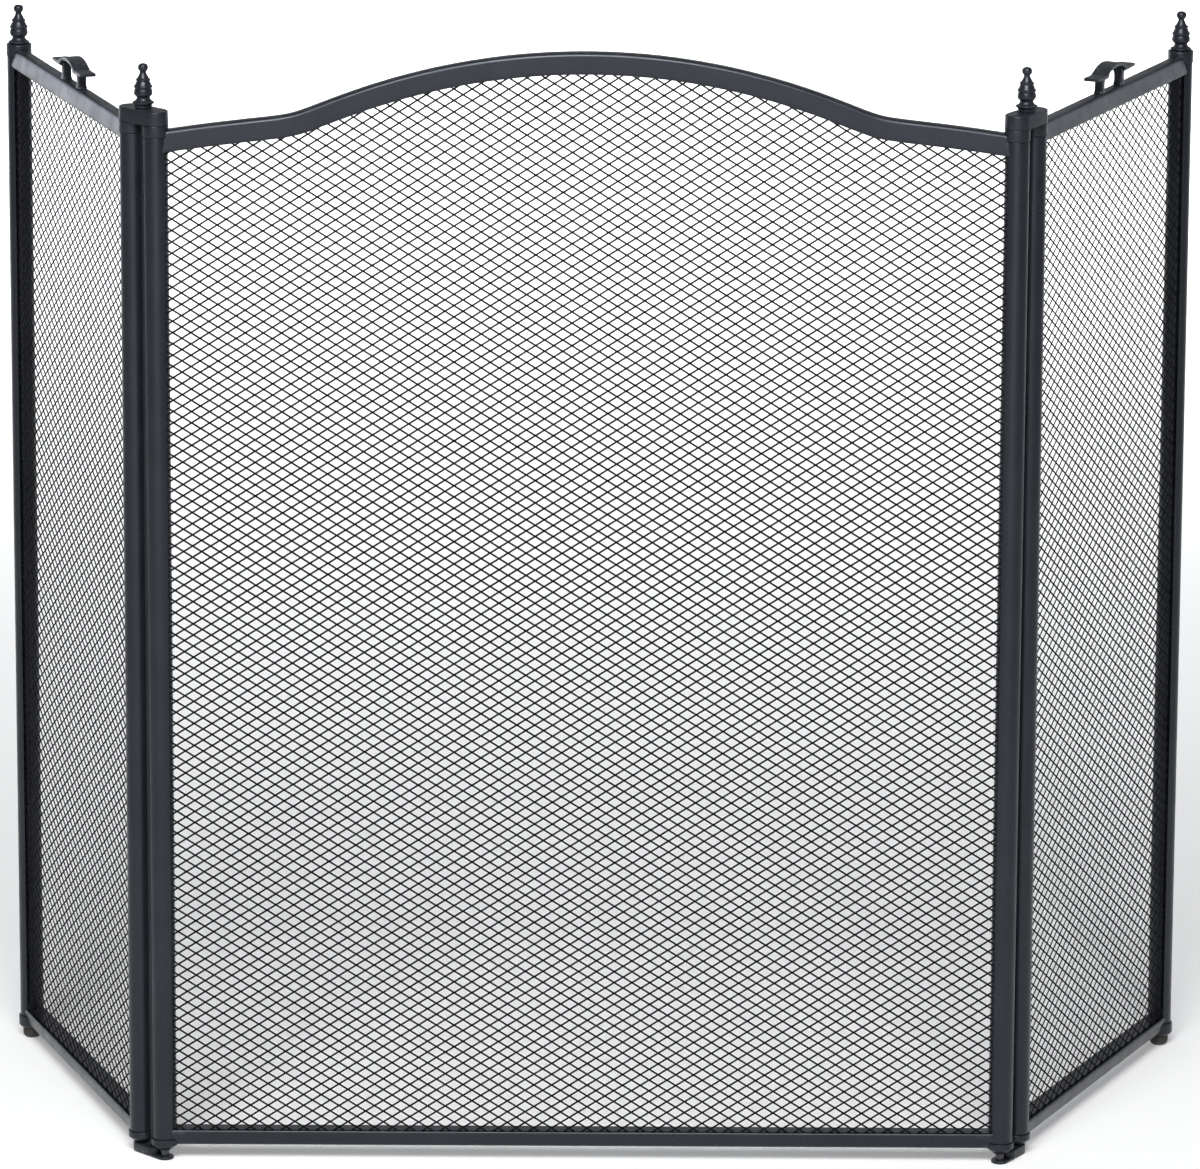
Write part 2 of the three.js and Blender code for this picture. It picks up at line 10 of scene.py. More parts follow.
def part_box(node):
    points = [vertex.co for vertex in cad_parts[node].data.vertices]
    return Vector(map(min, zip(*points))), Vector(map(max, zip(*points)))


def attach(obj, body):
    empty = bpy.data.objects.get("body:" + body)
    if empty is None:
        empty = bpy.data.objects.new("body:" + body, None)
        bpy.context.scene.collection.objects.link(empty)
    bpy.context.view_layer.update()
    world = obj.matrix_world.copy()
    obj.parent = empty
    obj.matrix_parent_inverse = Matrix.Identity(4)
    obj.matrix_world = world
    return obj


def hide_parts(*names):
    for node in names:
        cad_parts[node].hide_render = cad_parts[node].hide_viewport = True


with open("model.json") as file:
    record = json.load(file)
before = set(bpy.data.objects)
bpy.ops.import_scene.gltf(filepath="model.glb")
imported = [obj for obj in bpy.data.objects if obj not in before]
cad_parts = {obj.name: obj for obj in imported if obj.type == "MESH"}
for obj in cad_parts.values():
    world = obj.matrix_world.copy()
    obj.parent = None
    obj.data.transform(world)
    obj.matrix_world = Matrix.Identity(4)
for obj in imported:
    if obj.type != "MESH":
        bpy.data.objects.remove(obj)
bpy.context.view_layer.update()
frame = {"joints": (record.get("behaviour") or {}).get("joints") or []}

# ------------------------------------------------------------------ dimensions, in millimetres

MM = 0.001          # one millimetre, in metres
CENTRE_SPAN = 600   # between the axes of the centre panel's posts
WING_SPAN = 288     # between the axes of a wing's posts
LINK_SPAN = 25      # between the two pivots of a hinge
GAP = 0.3           # clearance round a fitted piece
OVERRUN = 1         # how far a cutting tool reaches past what it cuts

POST_R = 8.75
POST_WALL = 1.4
POST_EDGE_OUT, POST_EDGE_IN = 0.35, 0.2
SPIGOT_R = 6.95     # of the part of a collar or cap that plugs into a post
PIN_R = 3.1
PIN_BORE_R = PIN_R + GAP
ROD_R = 2.25
ROD_BORE_R = ROD_R + GAP
PIN_EDGE, ROD_EDGE = 0.5, 0.4

HINGE_POST = {"bottom": 15.9, "top": 747.1}
OUTER_POST = {"bottom": 17.8, "top": 750}

MESH_Y = -4.6           # middle of the mesh, in front of the posts' axes

# A rail's reach in front of and behind the mesh, how much less it reaches on the side away from the mesh,
# and how far its corners are rounded on that side and on the mesh's side.
RAIL_FRONT = 2.7
RAIL_BACK = 13.1
RAIL_LEAN = 1.5
RAIL_BACK_LEAN = 3
RAIL_CROWN = 3.8
RAIL_LIP = 1
RAIL_STEPS = 24         # along a straight rail
WING_TOP_RAIL = {"bottom": 742.4, "height": 13}
BOTTOM_RAIL = {"bottom": 11.4, "height": 11.6}
ARCH_RAIL_HEIGHT = 15.2

# The arch rail's centreline: half the chord and the rise of its arc, the height of its middle, how far each
# shoulder falls evenly and by the square on its way to the post, and the size of the blend between the two.
ARCH_CHORD_HALF = 202
ARCH_RISE = 46
ARCH_MID_Z = 801
SHOULDER_LINEAR = 7
SHOULDER_CURVED = 4.5
ARCH_FILLET = 5
ARCH_STEPS = 180
SLOPE_STEP = 0.01

# The slots for the mesh, and how far the mesh reaches into a rail and through a post's wall.
SHEET_THICK = 1.6
SLOT_WIDTH = SHEET_THICK + 2 * GAP
SHEET_IN_RAIL = 2.5
SLOT_IN_RAIL = SHEET_IN_RAIL + 2 * GAP
SHEET_IN_POST = 1.1
SHEET_EDGE = math.sqrt(POST_R ** 2 - MESH_Y ** 2) - SHEET_IN_POST
SLOT_TOP_INSET = 3      # how far inside the mesh's edge the height of a centre post's slot is read

# Expanded metal: half the long and short pitch, half the width of a strand, half the height of a bond,
# half the thickness at a bond, how far a strand's edges tilt out of the sheet's plane, how far a bond
# wanders from its place, and the place of one bond.
HALF_LONG = 6.35
HALF_SHORT = 4.05
STRAND_HALF = 0.68
BOND_HALF = 0.82
RIDGE_HALF = 0.5
STRAND_TILT = 0.1
BOND_WANDER = 0.03
BOND_PHASE_X = 3.175
BOND_PHASE_Z = 29.5
MESH_SEEDS = {"centre": 1, "left": 1, "right": 3}
TOP_SAMPLES = 40        # where a sheet's top edge is sampled to find its highest point

CAP = {"bottom": 755.9, "height": 9.9, "radius": 9.25, "pin_depth": 6, "draft": 0.25, "edge": 0.9,
       "bottom_edge": 0.35, "bottom_inset": 1.5, "top_inset": 2.5}
LINK = {"radius": 6.3, "plate": 2, "height": 6.8, "nose": 5.4, "nut_recess": 3.4, "edge": 0.6, "inset": 2}
NUT = {"across": 7, "height": 3, "chamfer": 0.35, "face_reach": 1.02, "corner_reach": 1.16}
TOP_COLLAR = {"bottom": 747.4, "top": 755.6, "radius": 9.1, "spigot": 8}
BOTTOM_COLLAR = {"tip": 7.1, "shoulder": 11.2, "top": 15.6, "radius": 9.75, "tip_radius": 4.8,
                 "spigot": 8.5}
OUTER_CAP = {"bottom": 750.3, "top": 759.2, "radius": 9.3, "recess": 2.9, "recess_radius": 7.2,
             "spigot": 10}
OUTER_COLLAR = {"bottom": 8.3, "top": 17.5, "radius": 9.9, "chamfer": 1.7, "spigot": 9}
FOOT = {"radius": 6.9, "height": 8, "toe": 2.2, "stem_top": 24}
PIN_TOP = {"bottom": 734, "top": CAP["bottom"] + CAP["pin_depth"] - GAP}
PIN_BOTTOM = {"bottom": 0.4, "top": 28}
ROD_BOTTOM = 0.6
FINIAL_HOLE = 12.2
STUD_END_GAP = 1

# Heights of the handle are above the rail that it stands on. "sink" is how far its legs reach below that.
HANDLE = {"half": 36, "width": 12, "leg_in": 16, "leg_out": 22, "leg_width": 6, "under": 10.5,
          "over": 13.3, "dome_under": 15.8, "dome_over": 19, "sink": 2, "round": 0.9, "tip_rise": 0.4,
          "leg_round": 1.1, "end_thinning": 0.7, "round_share": 0.95}
HANDLE_OVER = [(0, HANDLE["dome_over"]), (10, HANDLE["dome_over"]), (16.5, HANDLE["over"] + 2.2),
               (21.5, HANDLE["over"])]
HANDLE_UNDER = [(0, HANDLE["dome_under"]), (8, HANDLE["dome_under"]), (15.6, HANDLE["dome_under"] - 1),
                (16, HANDLE["under"])]
HANDLE_STEPS = 84
LEG_AXIS = (HANDLE["leg_in"] + HANDLE["leg_out"]) / 2
# A leg's flare at its foot and under the plate: (height, flare), and the flare's share along X and Y.
LEG_FLARE = [(-HANDLE["sink"], 1.5), (-0.5, 1.5), (0.6, 0.8), (1.8, 0.25), (3.5, 0), (7.2, 0), (8.8, 0.3),
             (9.9, 0.9), (10.9, 2.0), (12.2, 2.2)]
FLARE_X, FLARE_Y = 0.6, 0.5
RIVET = {"radius": 1.6, "in_rail": 6, "in_leg": 6, "edge": 0.3}

ROUND = 64              # segments round a post, collar or finial
ROUND_NUT = 72
ROUND_SMALL = 40        # segments round a pin, rod or rivet
ROUND_END = 28          # segments round an end of an obround
BEND_STEPS = 6
CROWN_STEPS = 8
CURVE_STEPS = 24
SOFT_STEPS = 4
SOFT_STEPS_FINIAL = 5
SHARP_ANGLE = math.radians(32)
WELD = 1e-4             # vertices closer than this become one
EDGE_SHARE = 0.49       # the most that a rounding takes of the straight beside it

# ------------------------------------------------------------------ frames of the panels and links


def standing_frame(origin, along):
    """A frame at origin with Z up and X along the level part of a direction."""
    x = Vector((along.x, along.y, 0)).normalized()
    z = Vector((0, 0, 1))
    axes = Matrix((x, z.cross(x), z)).transposed().to_4x4()
    return Matrix.Translation(origin) @ axes


SIDES = (("left", -1), ("right", 1))
pivot = {joint["name"]: Vector(joint["pos_m"]) for joint in frame["joints"]}
left_pivot, right_pivot = pivot["left_link_pivot"], pivot["right_link_pivot"]
FRAMES = {"centre": standing_frame((left_pivot + right_pivot) / 2, right_pivot - left_pivot)}
for side, sign in SIDES:
    low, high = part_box(f"{side}_foot")
    hinge = pivot[f"{side}_wing_pivot"]
    FRAMES[f"{side}_link"] = standing_frame(pivot[f"{side}_link_pivot"], hinge - pivot[f"{side}_link_pivot"])
    FRAMES[f"{side}_wing"] = standing_frame(hinge, sign * ((low + high) / 2 - hinge))

# ------------------------------------------------------------------ mesh building


def built(verts, faces):
    """An object from closed faces, with doubled vertices welded and normals facing out."""
    mesh = bpy.data.meshes.new("shape")
    mesh.from_pydata([tuple(v) for v in verts], [], faces)
    bm = bmesh.new()
    bm.from_mesh(mesh)
    bmesh.ops.remove_doubles(bm, verts=bm.verts, dist=WELD)
    bmesh.ops.recalc_face_normals(bm, faces=bm.faces)
    bm.to_mesh(mesh)
    bm.free()
    obj = bpy.data.objects.new("shape", mesh)
    bpy.context.scene.collection.objects.link(obj)
    return obj


def loft(rings, closed=False):
    """Skins equal rings of points in order. Open ends are capped; closed joins the last to the first."""
    n, count = len(rings[0]), len(rings)
    verts = [point for ring in rings for point in ring]
    faces = []
    for k in range(count if closed else count - 1):
        a, b = k * n, ((k + 1) % count) * n
        faces += [(a + i, a + (i + 1) % n, b + (i + 1) % n, b + i) for i in range(n)]
    if not closed:
        faces += [tuple(reversed(range(n))), tuple(range((count - 1) * n, count * n))]
    return built(verts, faces)


def bend(start, corner, end, steps=BEND_STEPS):
    """Points of a quadratic curve from start to end, pulled towards corner."""
    return [tuple(a * (1 - t) ** 2 + 2 * b * t * (1 - t) + c * t * t for a, b, c in zip(start, corner, end))
            for t in (i / steps for i in range(steps + 1))]


def softened(points, closed=False, steps=SOFT_STEPS):
    """A profile whose points may carry a third number, the size of the rounding at that corner."""
    out = []
    for i, point in enumerate(points):
        size = point[2] if len(point) > 2 else 0
        if not size or (not closed and i in (0, len(points) - 1)):
            out.append((point[0], point[1]))
            continue
        here = Vector(point[:2])
        ends = []
        for other in (points[i - 1], points[(i + 1) % len(points)]):
            away = Vector(other[:2]) - here
            ends.append(here + away.normalized() * min(size, away.length * EDGE_SHARE))
        out += bend(ends[0], here, ends[1], steps)
    return out


def turned(profile, x=0, segments=ROUND, closed=False, steps=SOFT_STEPS):
    """A turned piece on the upright axis at x. A closed profile makes a ring with a bore."""
    rings = []
    for r, z in softened(profile, closed, steps):
        angles = (2 * math.pi * k / segments for k in range(segments))
        rings.append([(x + r * math.cos(a), r * math.sin(a), z) for a in angles])
    return loft(rings, closed)


def rod(radius, bottom, top, x=0, edge=0.0, segments=ROUND_SMALL):
    """A plain rod on the upright axis at x, with its ends' edges rounded."""
    return turned([(0, bottom), (radius, bottom, edge), (radius, top, edge), (0, top)], x, segments)


def block(x0, x1, y0, y1, z0, z1):
    return loft([[(x0, y0, z), (x1, y0, z), (x1, y1, z), (x0, y1, z)] for z in (z0, z1)])


def obround(a, b, levels):
    """Stacked obround outlines with end centres at x = a and x = b. A level is (radius, z)."""
    rings = []
    for r, z in levels:
        half_turn = [-math.pi / 2 + math.pi * k / ROUND_END for k in range(ROUND_END + 1)]
        ring = [(b + r * math.cos(t), r * math.sin(t), z) for t in half_turn]
        ring += [(a - r * math.cos(t), -r * math.sin(t), z) for t in half_turn]
        rings.append(ring)
    return loft(rings)


def combined(body, tools, operation="DIFFERENCE"):
    """The body with each tool cut away, or joined on. The tools are used up."""
    for tool in tools:
        modifier = body.modifiers.new("combine", "BOOLEAN")
        modifier.operation = operation
        modifier.solver = "EXACT"
        modifier.object = tool
        graph = bpy.context.evaluated_depsgraph_get()
        result = bpy.data.meshes.new_from_object(body.evaluated_get(graph))
        body.modifiers.clear()
        body.data = result
        bpy.data.objects.remove(tool)
    return body


def copied(obj, offset):
    """A copy of the object, moved by offset."""
    twin = bpy.data.objects.new("shape", obj.data.copy())
    twin.data.transform(Matrix.Translation(offset))
    bpy.context.scene.collection.objects.link(twin)
    return twin


def placed(obj, node, where, body, slot_name, smooth=True, shift=0):
    """Gives a shape its place, body, finish and shading. shift moves it along its own X, in millimetres."""
    mesh = obj.data
    turn = FRAMES[where].to_3x3().to_4x4()
    mesh.transform(turn @ Matrix.Scale(MM, 4) @ Matrix.Translation((shift, 0, 0)))
    mesh.materials.clear()
    mesh.materials.append(MATERIALS[slot_name])
    for polygon in mesh.polygons:
        polygon.use_smooth = smooth
    if smooth:
        mesh.set_sharp_from_angle(angle=SHARP_ANGLE)
    obj.name = mesh.name = f"{node}_detail"
    obj.matrix_world = Matrix.Translation(FRAMES[where].translation)
    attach(obj, body)
    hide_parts(node)


# ------------------------------------------------------------------ finishes

WHITE = (1, 1, 1)
COAT_SHEEN = (0.86, 0.92, 1.0)      # the tint of the coats' highlights
DUST = (0.2, 0.2, 0.2)
DUST_ROUGHNESS = 0.5


def new_material(name, base, roughness, metallic=0.0, specular=0.5, tint=WHITE):
    """A material and its shader, with the values that are the same all over the surface."""
    material = bpy.data.materials.new(name)
    material.use_nodes = True
    shader = material.node_tree.nodes["Principled BSDF"]
    shader.inputs["Base Color"].default_value = (*base, 1)
    shader.inputs["Roughness"].default_value = roughness
    shader.inputs["Metallic"].default_value = metallic
    shader.inputs["Specular IOR Level"].default_value = specular
    shader.inputs["Specular Tint"].default_value = (*tint, 1)
    return material, shader


class Nodes:
    """Short names for the nodes that the finishes share."""

    def __init__(self, material):
        self.tree = material.node_tree
        self.place = self.add("ShaderNodeTexCoord").outputs["Object"]

    def add(self, kind, **settings):
        node = self.tree.nodes.new(kind)
        for key, value in settings.items():
            setattr(node, key, value)
        return node

    def join(self, source, target):
        self.tree.links.new(source, target)

    def noise(self, scale, detail=3.0, roughness=0.55, stretch=None):
        """Noise in the object's own metres, scale of its features to a metre."""
        node = self.add("ShaderNodeTexNoise")
        node.inputs["Scale"].default_value = scale
        node.inputs["Detail"].default_value = detail
        node.inputs["Roughness"].default_value = roughness
        place = self.place
        if stretch:
            mapping = self.add("ShaderNodeMapping")
            mapping.inputs["Scale"].default_value = stretch
            self.join(place, mapping.inputs["Vector"])
            place = mapping.outputs["Vector"]
        self.join(place, node.inputs["Vector"])
        return node.outputs["Fac"]

    def spread(self, value, low, high, to_low, to_high):
        """The value eased from to_low at low to to_high at high."""
        node = self.add("ShaderNodeMapRange", interpolation_type="SMOOTHSTEP")
        for name, number in (("From Min", low), ("From Max", high), ("To Min", to_low), ("To Max", to_high)):
            node.inputs[name].default_value = number
        self.join(value, node.inputs["Value"])
        return node.outputs["Result"]

    def maths(self, operation, a, b):
        node = self.add("ShaderNodeMath", operation=operation)
        for socket, value in zip(node.inputs, (a, b)):
            if isinstance(value, (int, float)):
                socket.default_value = value
            else:
                self.join(value, socket)
        return node.outputs["Value"]

    def mix(self, factor, a, b):
        """A mix of two colours, each a tuple or a socket. Sockets 0, 6 and 7 are its factor, A and B."""
        node = self.add("ShaderNodeMix", data_type="RGBA")
        for socket, value in ((node.inputs[0], factor), (node.inputs[6], a), (node.inputs[7], b)):
            if isinstance(value, tuple):
                socket.default_value = (*value, 1)
            else:
                self.join(value, socket)
        return node.outputs[2]

    def bump(self, height, strength, distance, under=None):
        node = self.add("ShaderNodeBump")
        node.inputs["Strength"].default_value = strength
        node.inputs["Distance"].default_value = distance
        self.join(height, node.inputs["Height"])
        if under:
            self.join(under, node.inputs["Normal"])
        return node.outputs["Normal"]


def coated(name, dark, light, worn_and_highlit, roughness, peel, grain, specular=0.35):
    """Powder coat: two close tones in soft clouds, orange peel, a fine grain, lighter rubbed edges that are
    partly wear and partly a painted highlight, and thin dust.

    roughness is a range. peel and grain are how strong their bumps are.
    """
    material, shader = new_material(name, dark, roughness[0], specular=specular, tint=COAT_SHEEN)
    n = Nodes(material)
    clouds = n.noise(26, 4)
    speckle = n.noise(1500, 2)
    tone = n.mix(n.spread(clouds, 0.35, 0.68, 0.0, 1.0), dark, light)
    # Convex edges are lightened towards the worn tone: partly edge wear, partly a painted highlight in place
    # of rim light.
    edge = n.spread(n.add("ShaderNodeNewGeometry").outputs["Pointiness"], 0.53, 0.62, 0.0, 1.0)
    rubbed_and_highlit = n.maths("MULTIPLY", edge, n.spread(n.noise(180, 3), 0.42, 0.66, 0.0, 0.7))
    tone = n.mix(rubbed_and_highlit, tone, worn_and_highlit)
    normal_z = n.add("ShaderNodeSeparateXYZ")
    n.join(n.add("ShaderNodeNewGeometry").outputs["Normal"], normal_z.inputs["Vector"])
    upward = n.spread(normal_z.outputs["Z"], 0.55, 1.0, 0.0, 1.0)
    dust = n.maths("MULTIPLY", upward, n.spread(n.noise(420, 4, 0.7), 0.45, 0.75, 0.0, 0.22))
    tone = n.mix(dust, tone, DUST)
    n.join(tone, shader.inputs["Base Color"])
    matt = n.spread(n.noise(60, 3), 0.3, 0.7, *roughness)
    n.join(n.maths("ADD", matt, n.maths("MULTIPLY", dust, DUST_ROUGHNESS)), shader.inputs["Roughness"])
    orange_peel = n.bump(n.noise(430, 2, 0.4), peel, 0.0004)
    n.join(n.bump(speckle, grain, 0.0001, orange_peel), shader.inputs["Normal"])
    return material


def steel(name):
    """Blackened turned steel: fine rings along the axis and a few duller patches."""
    material, shader = new_material(name, (0.06, 0.062, 0.066), 0.35, metallic=0.9)
    n = Nodes(material)
    rings = n.noise(60, 3, 0.6, stretch=(1, 1, 60))
    patches = n.spread(n.noise(220, 3), 0.4, 0.7, 0.0, 1.0)
    n.join(n.mix(patches, (0.07, 0.072, 0.077), (0.045, 0.046, 0.049)), shader.inputs["Base Color"])
    n.join(n.spread(rings, 0.3, 0.7, 0.26, 0.46), shader.inputs["Roughness"])
    n.join(n.bump(rings, 0.25, 0.0002), shader.inputs["Normal"])
    return material


def rubber(name):
    """Moulded rubber: matt, faintly mottled and scuffed near the floor."""
    material, shader = new_material(name, (0.034, 0.030, 0.027), 0.7, specular=0.3)
    n = Nodes(material)
    height = n.add("ShaderNodeSeparateXYZ")
    n.join(n.place, height.inputs["Vector"])
    scuffed = n.maths("MULTIPLY", n.spread(height.outputs["Z"], 0.0, 0.005, 1.0, 0.0),
                      n.spread(n.noise(500, 4, 0.7), 0.4, 0.7, 0.2, 1.0))
    mottled = n.spread(n.noise(140, 3), 0.35, 0.65, 0.0, 1.0)
    tone = n.mix(mottled, (0.028, 0.025, 0.023), (0.044, 0.038, 0.034))
    n.join(n.mix(scuffed, tone, (0.085, 0.078, 0.07)), shader.inputs["Base Color"])
    n.join(n.spread(n.noise(300, 2), 0.3, 0.7, 0.62, 0.8), shader.inputs["Roughness"])
    n.join(n.bump(n.noise(1300, 2), 0.3, 0.0002), shader.inputs["Normal"])
    return material


# The third colour of each coat is the tone of its rubbed edges: wear, and a painted highlight on convex
# edges.
MATERIALS = {
    "powder_coat": coated("powder_coat", (0.0070, 0.0080, 0.0110), (0.0095, 0.0108, 0.0145),
                          (0.070, 0.075, 0.086), (0.27, 0.38), 0.12, 0.08),
    "cast_coat": coated("cast_coat", (0.0072, 0.0082, 0.0112), (0.0100, 0.0112, 0.0150),
                        (0.085, 0.09, 0.102), (0.29, 0.42), 0.2, 0.14),
    "mesh_coat": coated("mesh_coat", (0.004, 0.004, 0.0046), (0.008, 0.008, 0.009),
                        (0.016, 0.016, 0.018), (0.72, 0.88), 0.12, 0.15, specular=0.05),
    "steel_pin": steel("steel_pin"),
    "foot_rubber": rubber("foot_rubber"),
}

# ------------------------------------------------------------------ posts, collars, caps and feet


def post(size, slot_sides, slot_top):
    """A tube with a slot for the mesh on each of slot_sides, -1 for left and 1 for right."""
    inner = POST_R - POST_WALL
    tube = turned([(inner, size["bottom"], POST_EDGE_IN), (POST_R, size["bottom"], POST_EDGE_OUT),
                   (POST_R, size["top"], POST_EDGE_OUT), (inner, size["top"], POST_EDGE_IN)], closed=True)
    slot_bottom = BOTTOM_RAIL["bottom"] + BOTTOM_RAIL["height"] - SLOT_IN_RAIL
    slots = []
    for side in slot_sides:
        x0, x1 = sorted((side * POST_R / 2, side * (POST_R + OVERRUN)))
        slots.append(block(x0, x1, MESH_Y - SLOT_WIDTH / 2, MESH_Y + SLOT_WIDTH / 2, slot_bottom,
                           slot_top + GAP))
    return combined(tube, slots)


def top_collar():
    c = TOP_COLLAR
    return turned([
        (PIN_BORE_R, c["bottom"] - c["spigot"]), (SPIGOT_R, c["bottom"] - c["spigot"], 0.4),
        (SPIGOT_R, c["bottom"]), (c["radius"], c["bottom"], 0.7), (c["radius"], c["top"], 0.7),
        (PIN_BORE_R, c["top"]),
    ], closed=True)


def bottom_collar():
    c = BOTTOM_COLLAR
    return turned([
        (PIN_BORE_R, c["tip"]), (c["tip_radius"], c["tip"], 0.3), (c["radius"], c["shoulder"], 0.3),
        (c["radius"], c["top"], 0.4), (SPIGOT_R, c["top"]), (SPIGOT_R, c["top"] + c["spigot"], 0.4),
        (PIN_BORE_R, c["top"] + c["spigot"]),
    ], closed=True)


def outer_cap():
    c = OUTER_CAP
    floor, screw = c["top"] - c["recess"], c["bottom"] - c["spigot"] / 2
    return turned([
        (0, c["bottom"] - c["spigot"]), (SPIGOT_R, c["bottom"] - c["spigot"], 0.4), (SPIGOT_R, c["bottom"]),
        (c["radius"], c["bottom"], 0.6), (c["radius"], c["top"], 1.0), (c["recess_radius"], c["top"], 0.3),
        (c["recess_radius"], floor), (ROD_BORE_R, floor), (ROD_BORE_R, screw), (0, screw),
    ])


def outer_collar():
    c = OUTER_COLLAR
    return turned([
        (PIN_BORE_R, c["bottom"]), (c["radius"] - c["chamfer"], c["bottom"], 0.5),
        (c["radius"], c["bottom"] + c["chamfer"], 0.8), (c["radius"], c["top"], 0.6), (SPIGOT_R, c["top"]),
        (SPIGOT_R, c["top"] + c["spigot"], 0.4), (PIN_BORE_R, c["top"] + c["spigot"]),
    ], closed=True)


def foot():
    f = FOOT
    return turned([
        (0, 0), (f["radius"] - f["toe"], 0, 0.9), (f["radius"], f["toe"], 1.6),
        (f["radius"], f["height"], 0.5), (PIN_R, f["height"]), (PIN_R, f["stem_top"], PIN_EDGE),
        (0, f["stem_top"]),
    ])


def finial(base):
    """Seat, groove, flange, waist, belly, two beads, cone, neck and a flattened ball, over a blind hole."""
    profile = [
        (ROD_BORE_R, 0), (6.2, 0, 0.3), (6.2, 2.3, 0.6), (7.6, 3.3, 0.4), (7.7, 4.1, 0.4), (6.1, 4.7, 0.8),
        (4.8, 6.4, 0.8), (4.75, 7.6, 0.5), (6.4, 9.3, 0.4), (6.6, 10.2, 0.6), (6.55, 11.8, 1.0),
        (6.0, 13.5, 0.4), (5.9, 14.0, 0.2), (6.55, 14.4, 0.2), (6.55, 15.4, 0.2), (5.8, 16.0, 0.6),
        (5.2, 17.8, 1.0), (4.55, 18.9, 0.2), (5.1, 19.3, 0.2), (5.1, 20.2, 0.2), (4.2, 20.8, 0.6),
        (3.3, 22.3, 1.2), (2.25, 24.6, 1.0), (2.2, 25.6, 0.4), (3.1, 26.5, 0.6), (3.6, 27.6, 0.9),
        (3.6, 29.2, 1.0), (3.0, 30.4, 0.8), (1.6, 31.2, 0.8), (0, 31.2), (0, FINIAL_HOLE),
        (ROD_BORE_R, FINIAL_HOLE),
    ]
    return turned([(p[0], p[1] + base, *p[2:]) for p in profile], closed=True, steps=SOFT_STEPS_FINIAL)


# ------------------------------------------------------------------ rails


def rail_section(height):
    """Outline of a rail with its mesh slot: (reach in front of the mesh, rise towards the mesh)."""
    half, front, back = height / 2, RAIL_FRONT - RAIL_LEAN, RAIL_BACK - RAIL_BACK_LEAN
    slot = SLOT_WIDTH / 2
    return [
        *bend((RAIL_FRONT - RAIL_LIP, half), (RAIL_FRONT, half), (RAIL_FRONT, half - 2 * RAIL_LIP)),
        *bend((front, RAIL_CROWN - half), (front, -half), (front - RAIL_CROWN, -half), CROWN_STEPS),
        *bend((RAIL_CROWN - back, -half), (-back, -half), (-back, RAIL_CROWN - half), CROWN_STEPS),
        *bend((-RAIL_BACK, half - RAIL_LIP), (-RAIL_BACK, half), (RAIL_LIP - RAIL_BACK, half)),
        (-slot, half), (-slot, half - SLOT_IN_RAIL), (slot, half - SLOT_IN_RAIL), (slot, half),
    ]


def rail_along(stations, height):
    """A rail through stations, each a middle point and the upright direction towards the mesh."""
    section = rail_section(height)
    return loft([[Vector((mid[0], MESH_Y - reach, mid[1])) + rise * Vector((toward[0], 0, toward[1]))
                  for reach, rise in section] for mid, toward in stations])


def straight_rail(x0, x1, size, mesh_side):
    """A level rail whose mesh is above it, for mesh_side 1, or below it, for -1."""
    z = size["bottom"] + size["height"] / 2
    return rail_along([((x0 + (x1 - x0) * k / RAIL_STEPS, z), (0, mesh_side))
                       for k in range(RAIL_STEPS + 1)], size["height"])


def arch_z(x):
    """Height of the arch rail's centreline: a circular arch between two gently falling shoulders."""
    radius = (ARCH_CHORD_HALF ** 2 + ARCH_RISE ** 2) / (2 * ARCH_RISE)
    arch = ARCH_MID_Z - radius + math.sqrt(radius ** 2 - x ** 2)
    u = (abs(x) - ARCH_CHORD_HALF) / (CENTRE_SPAN / 2 - ARCH_CHORD_HALF)
    shoulder = ARCH_MID_Z - ARCH_RISE - SHOULDER_LINEAR * u - SHOULDER_CURVED * u * u
    return (arch + shoulder + math.hypot(arch - shoulder, ARCH_FILLET)) / 2


def arch_rail():
    stations = []
    for k in range(ARCH_STEPS + 1):
        x = CENTRE_SPAN * (k / ARCH_STEPS - 0.5)
        slope = (arch_z(x + SLOPE_STEP) - arch_z(x - SLOPE_STEP)) / (2 * SLOPE_STEP)
        inward = Vector((slope, -1)).normalized()
        stations.append(((x, arch_z(x)), inward))
    return rail_along(stations, ARCH_RAIL_HEIGHT)


def cope(x, size, collars):
    """Room for a post and its collars at a rail's end on the axis x."""
    tools = [rod(POST_R + GAP, 0, size["top"] + ARCH_RISE, x, segments=ROUND)]
    for collar in collars:
        bottom = collar.get("tip", collar.get("bottom"))
        tools.append(rod(collar["radius"] + GAP, bottom - GAP, collar["top"] + GAP, x, segments=ROUND))
    return tools


# ------------------------------------------------------------------ expanded metal


def clipped(verts, faces, outside):
    """The faces where outside(vertex) is negative, cut along the line where it is zero."""
    value = [outside(v) for v in verts]
    crossing, kept = {}, []
    for face in faces:
        inside = [value[i] < 0 for i in face]
        if all(inside):
            kept.append(face)
        elif any(inside):
            out = []
            for i, j in zip(face, face[1:] + face[:1]):
                if value[i] < 0:
                    out.append(i)
                if (value[i] < 0) != (value[j] < 0):
                    a, b = min(i, j), max(i, j)
                    if (a, b) not in crossing:
                        t = value[a] / (value[a] - value[b])
                        crossing[a, b] = len(verts)
                        verts.append(tuple(p + (q - p) * t for p, q in zip(verts[a], verts[b])))
                    out.append(crossing[a, b])
            kept.append(tuple(out))
    return kept


